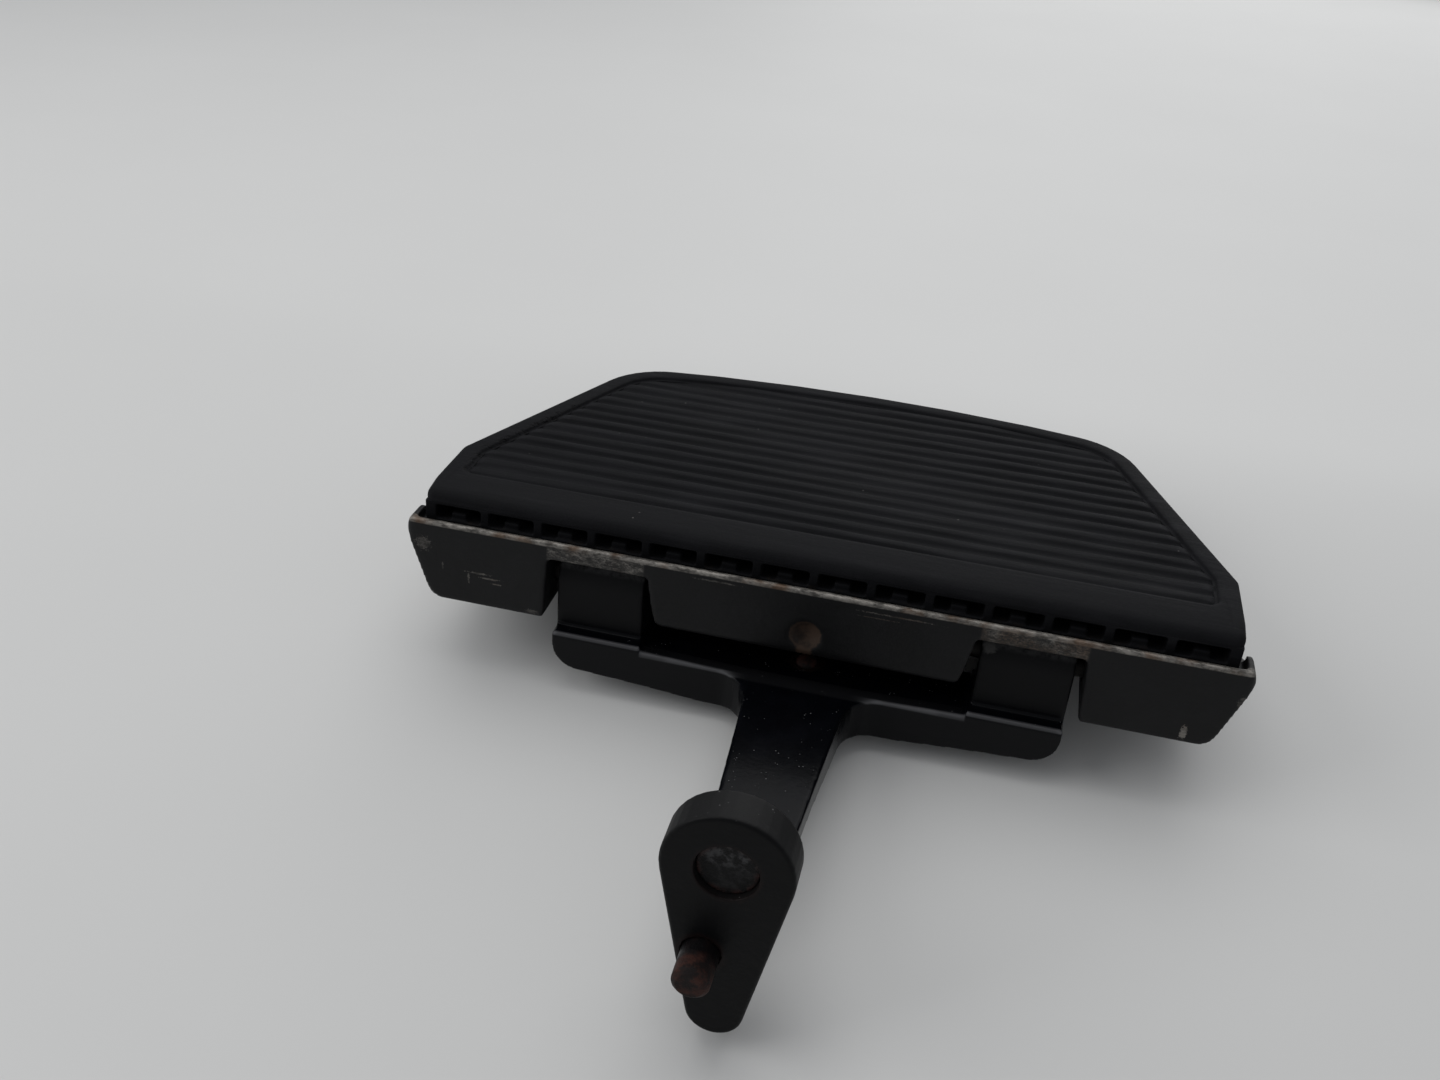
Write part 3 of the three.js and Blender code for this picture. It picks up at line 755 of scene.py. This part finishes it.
def isolatorSides():
    values = treadValues
    outer = growOutline(mirroredCorners(values["corners"]), -0.4)
    cutY = values["corners"][0][1] + pocketValues["depth"] + 2
    section = [(0.0, values["underZ"] + 0.4), (0.0, values["splitZ"] - 0.2), (-0.5, values["splitZ"]),
               (-6.0, values["splitZ"]), (-6.0, values["underZ"]), (-0.4, values["underZ"])]
    rings = []
    for distance, z in section:
        points = roundOutline(growOutline(outer, distance), values["cornerSteps"])
        rings.append([(x, max(y, cutY), z) for x, y in points])
    # the front run is left out: the pocket row stands there
    count = len(rings[0])
    vertices = [vertex for ring in rings for vertex in ring]
    faces = []
    for index in range(len(rings)):
        first, second = index * count, ((index + 1) % len(rings)) * count
        for step in range(count):
            after = (step + 1) % count
            pair = (rings[0][step], rings[0][after])
            if pair[0][1] <= cutY + 0.01 and pair[1][1] <= cutY + 0.01:
                continue
            faces.append((first + step, first + after, second + after, second + step))
    newPiece("isolator_sides", vertices, faces, rubberFinish, "footboard",
             smooth=False)


treadBorder()
treadField()
pocketRow()
isolatorSides()
print("rubber made")

# voxel is in millimetres, and passes are rounds of smoothing
roundedPieces = (
    {"node": "footboard_pan", "name": "pan_casting", "body": "footboard",
     "slot": "cast_aluminium_painted", "finish": castingFinish, "voxel": 0.8, "passes": 4,
     "edgeReach": 0.22},
    {"node": "hinge_bracket", "name": "bracket_forging", "body": "bracket",
     "slot": "bracket_paint", "finish": bracketFinish, "voxel": 0.6, "passes": 4,
     "edgeReach": 0.18},
    {"node": "mounting_plate", "name": "plate_forging", "body": "bracket", "slot": "plate_paint",
     "finish": plateFinish, "voxel": 0.45, "passes": 4, "edgeReach": 0.14},
    {"node": "locating_dowel", "name": "dowel_rusty", "body": "bracket", "slot": "dowel_steel",
     "finish": dowelFinish, "voxel": 0.3, "passes": 3, "edgeReach": 0.1},
    {"node": "boss_plug", "name": "plug_rough", "body": "bracket", "slot": "plug_steel",
     "finish": plugFinish, "voxel": 0.35, "passes": 3, "edgeReach": 0.1},
)
for values in roundedPieces:
    roundedCopy(values)
print("metal pieces made")

springValues = {"coil": 3.1, "wire": 0.45, "turns": 4.5, "around": 14, "perTurn": 36,
                "travel": 1.5}


# a round wire coil with nearly flat end turns
def detentSpring(values):
    low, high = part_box("detent_spring")
    wire = values["wire"]
    bottom = (low.z - footZ) / mm + wire
    top = (high.z - footZ) / mm - wire
    middleY = ((low.y + high.y) / 2 - wallY) / mm
    steps = int(values["turns"] * values["perTurn"])
    rings = []
    for step in range(steps + 1):
        share = step / steps
        angle = share * values["turns"] * 2 * math.pi
        rise = share - math.sin(share * 2 * math.pi) * 0.06
        ring = []
        for side in range(values["around"]):
            turn = side * 2 * math.pi / values["around"]
            radius = values["coil"] + wire * math.cos(turn)
            ring.append((radius * math.cos(angle), middleY + radius * math.sin(angle),
                         bottom + (top - bottom) * rise + wire * math.sin(turn)))
        rings.append(ring)
    vertices, faces = skin(rings, closed=False)
    around = values["around"]
    faces += [tuple(reversed(range(around))),
              tuple((len(rings) - 1) * around + index for index in range(around))]
    piece = newPiece("spring_coil", vertices, faces, springFinish, "bracket",
                     ["detent_spring"])
    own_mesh(piece)


detentSpring(springValues)

for nodeName, material in (("detent_ball", ballFinish),
                           ("pivot_pin_left", pinFinish), ("pivot_pin_right", pinFinish),
                           ("lock_screw_left", screwFinish), ("lock_screw_right", screwFinish),
                           *((f"pad_stud_{index}", rubberFinish) for index in range(1, 7))):
    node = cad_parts[nodeName]
    node.data.materials.clear()
    node.data.materials.append(material)
print("small pieces finished")


# rest is where the crossbar's back edge stands, and tilted is the stretch in Y that slopes
floorValues = {"colour": (0.60, 0.60, 0.59), "roughness": 0.6, "specular": 0.3, "tilt": 13.8,
               "rest": (24.0, -20.6), "tilted": (-170.0, 175.0), "reach": 9000, "smoothing": 6}


def makeFloor(values):
    slope = math.tan(math.radians(values["tilt"]))
    reach = values["reach"]
    restY, restZ = values["rest"]
    vertices, faces = [], []
    xs = np.linspace(-reach, reach, 13)
    ys = np.concatenate([np.linspace(-reach, -400, 8), np.linspace(-300, 400, 71),
                         np.linspace(500, reach, 9)])
    heights = restZ + (np.clip(ys, *values["tilted"]) - restY) * slope
    for _ in range(values["smoothing"]):
        heights[1:-1] = (heights[:-2] + 2 * heights[1:-1] + heights[2:]) / 4
    for y, z in zip(ys, heights):
        vertices += [place(x, y, z) for x in xs]
    wide = len(xs)
    for row in range(len(ys) - 1):
        for column in range(wide - 1):
            first = row * wide + column
            faces.append((first, first + 1, first + wide + 1, first + wide))
    mesh = bpy.data.meshes.new("floor")
    mesh.from_pydata(vertices, [], faces)
    mesh.polygons.foreach_set("use_smooth", [True] * len(mesh.polygons))
    paint = Paint("pale_floor")
    soft = paint.noise(6.0, 3.0, 0.5)
    mesh.materials.append(paint.finish(
        colour=paint.mixColour(soft, values["colour"], tuple(part * 0.95 for part in values["colour"])),
        roughness=values["roughness"], specular=values["specular"]))
    floor = bpy.data.objects.new("floor", mesh)
    bpy.context.scene.collection.objects.link(floor)


lightValues = (
    {"name": "overhead", "spot": (-150, 350, 1500), "aim": (0, 60, 0), "size": 1.6, "watts": 13.0},
    {"name": "window", "spot": (-1300, -500, 900), "aim": (0, -60, 0), "size": 1.0, "watts": 7.5},
    {"name": "back", "spot": (300, 1500, 700), "aim": (0, 60, 20), "size": 1.4, "watts": 6.0},
)
worldValues = {"colour": (0.82, 0.84, 0.88), "strength": 0.42}


def makeLights():
    for values in lightValues:
        data = bpy.data.lights.new(values["name"], "AREA")
        data.shape = "SQUARE"
        data.size = values["size"]
        data.energy = values["watts"]
        light = bpy.data.objects.new(values["name"], data)
        bpy.context.scene.collection.objects.link(light)
        spot = Vector(place(*values["spot"]))
        light.location = spot
        aim = Vector(place(*values["aim"]))
        light.rotation_euler = (aim - spot).to_track_quat("-Z", "Y").to_euler()
    world = bpy.data.worlds.new("soft_room")
    world.use_nodes = True
    background = world.node_tree.nodes["Background"]
    background.inputs["Color"].default_value = (*worldValues["colour"], 1.0)
    background.inputs["Strength"].default_value = worldValues["strength"]
    bpy.context.scene.world = world


makeFloor(floorValues)
makeLights()
bpy.context.scene.view_settings.view_transform = "Standard"
print("floor and light made")
